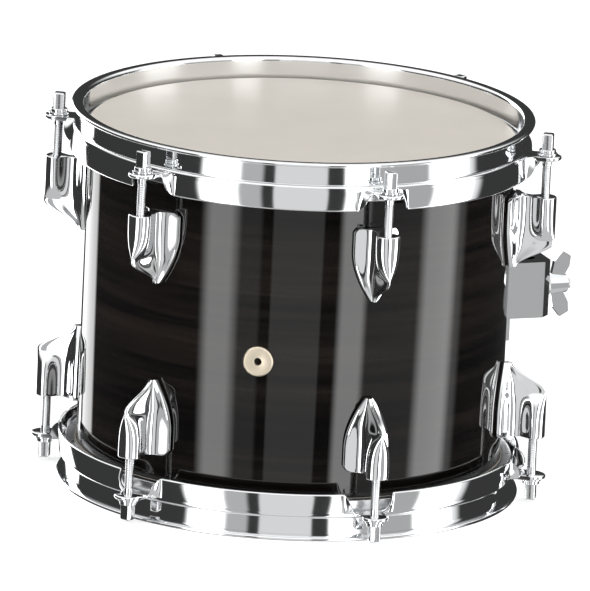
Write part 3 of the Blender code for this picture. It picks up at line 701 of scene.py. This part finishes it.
mouth = MOUTH_ROUND * (1 - np.cos(math.pi / 2 * np.arange(MOUTH_STEPS + 1) / MOUTH_STEPS))
body = MOUTH_ROUND + (LUG_LENGTH - MOUTH_ROUND) * (np.arange(BODY_STEPS) + 1) / BODY_STEPS
depth = np.concatenate([mouth, body])
drawn_in = MOUTH_ROUND - np.sqrt(MOUTH_ROUND**2 - np.maximum(MOUTH_ROUND - depth, 0) ** 2)
middle = np.array((0, LUG_MIDDLE))
spokes = lug_sections(depth) - middle
sections = middle + spokes * (1 - drawn_in[:, None, None] / np.linalg.norm(spokes, axis=2, keepdims=True))
heights = np.broadcast_to((-MOUTH_BELOW_RIM - depth)[:, None, None], (*sections.shape[:2], 1))
lug_parts = [lofted(np.concatenate([sections, heights], 2))]
screw_tip = LUG_SEAT_RADIUS + LUG_PLATE / 2
screw_outline = [
    (0, screw_tip),
    (SCREW_RADIUS, screw_tip),
    (SCREW_RADIUS, SCREW_SEAT),
    (SCREW_HEAD_RADIUS, SCREW_SEAT),
    (SCREW_HEAD_RADIUS, SCREW_SEAT - SCREW_HEAD),
    (0, SCREW_SEAT - SCREW_HEAD),
]
for screw_depth in SCREW_DEPTHS:
    at = Matrix.Translation((0, -SHELL_RADIUS, -MOUTH_BELOW_RIM - screw_depth)) @ OUTWARDS
    lug_parts.append(moved(turned(screw_outline, SCREW_SIDES, closed=False), at))
for side, flip in SIDES.items():
    for number, angle in enumerate(LUG_ANGLES, 1):
        at = flip @ around(angle, SHELL_RADIUS, DRUM_HEIGHT)
        parts = [moved(part, at) for part in lug_parts]
        piece(f"{side}_cast_lug_{number}", "drum", chrome, parts, f"{side}_lug_{number}")

# ---------------------------------------------------------------- vent
# A pale brass eyelet that lets air through the shell: a broad disc with its rim sloped off, turned in one with the
# sleeve that goes through the wood, and the lock ring inside, which keeps the shape of its own solid.

VENT_DISC_RADIUS = 0.0090
VENT_DISC = 0.0016
VENT_RIM = VENT_DISC * 0.6
VENT_SIDES = 64
VENT_BORE = 0.0022
VENT_SLEEVE = 0.0012
VENT_RING = 0.0018
VENT_ARRIS = 0.0004
VENT_HEIGHT = DRUM_HEIGHT * 0.46

brass = worn(Finish("brass", (0.86, 0.76, 0.60), 0.35, 1.0), 200.0, 0.3, 0.42)
disc_back = SHELL_RADIUS + GAP
disc_front = disc_back + VENT_DISC
sleeve_end = SCREW_SEAT - VENT_RING
eyelet_outline = [
    (VENT_DISC_RADIUS, disc_back),
    (VENT_DISC_RADIUS, disc_back + VENT_RIM),
    (VENT_DISC_RADIUS - VENT_DISC / 2, disc_front),
    (VENT_BORE, disc_front),
    (VENT_BORE, sleeve_end),
    (VENT_BORE + VENT_SLEEVE, sleeve_end),
    (VENT_BORE + VENT_SLEEVE, disc_back),
]
vent_at = around(0, 0, VENT_HEIGHT) @ OUTWARDS
eyelet_part = moved(turned(rounded(eyelet_outline, VENT_ARRIS), VENT_SIDES), vent_at)
piece("vent_disc", "drum", brass, [eyelet_part], "vent_eyelet")
brass.on(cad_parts["vent_lock_ring"])

# ---------------------------------------------------------------- bracket and pads
# The side bracket's own solids are shown: chromed block and wing nut, zinc-plated eyebolt, washer, screws and
# backing plate, and black rubber pads under the bracket and the lugs. The bracket's edges are eased.

EASED_EDGE = 0.00035
EASED_FROM = math.radians(40)

zinc = worn(Finish("zinc", (0.60, 0.61, 0.60), 0.3, 1.0), 120.0, 0.24, 0.40)
rubber = worn(Finish("rubber", (0.02, 0.02, 0.02), 0.7), 300.0, 0.6, 0.8)
bracket_finishes = {"bracket_body": chrome, "bracket_wing_nut": chrome, "bracket_gasket": rubber}
for name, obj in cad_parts.items():
    if name.startswith("bracket_"):
        bracket_finishes.get(name, zinc).on(obj)
        edges = obj.modifiers.new("worn_edges", "BEVEL")
        edges.width = EASED_EDGE
        edges.segments = 2
        edges.limit_method = "ANGLE"
        edges.angle_limit = EASED_FROM
    elif "lug_gasket" in name:
        rubber.on(obj)
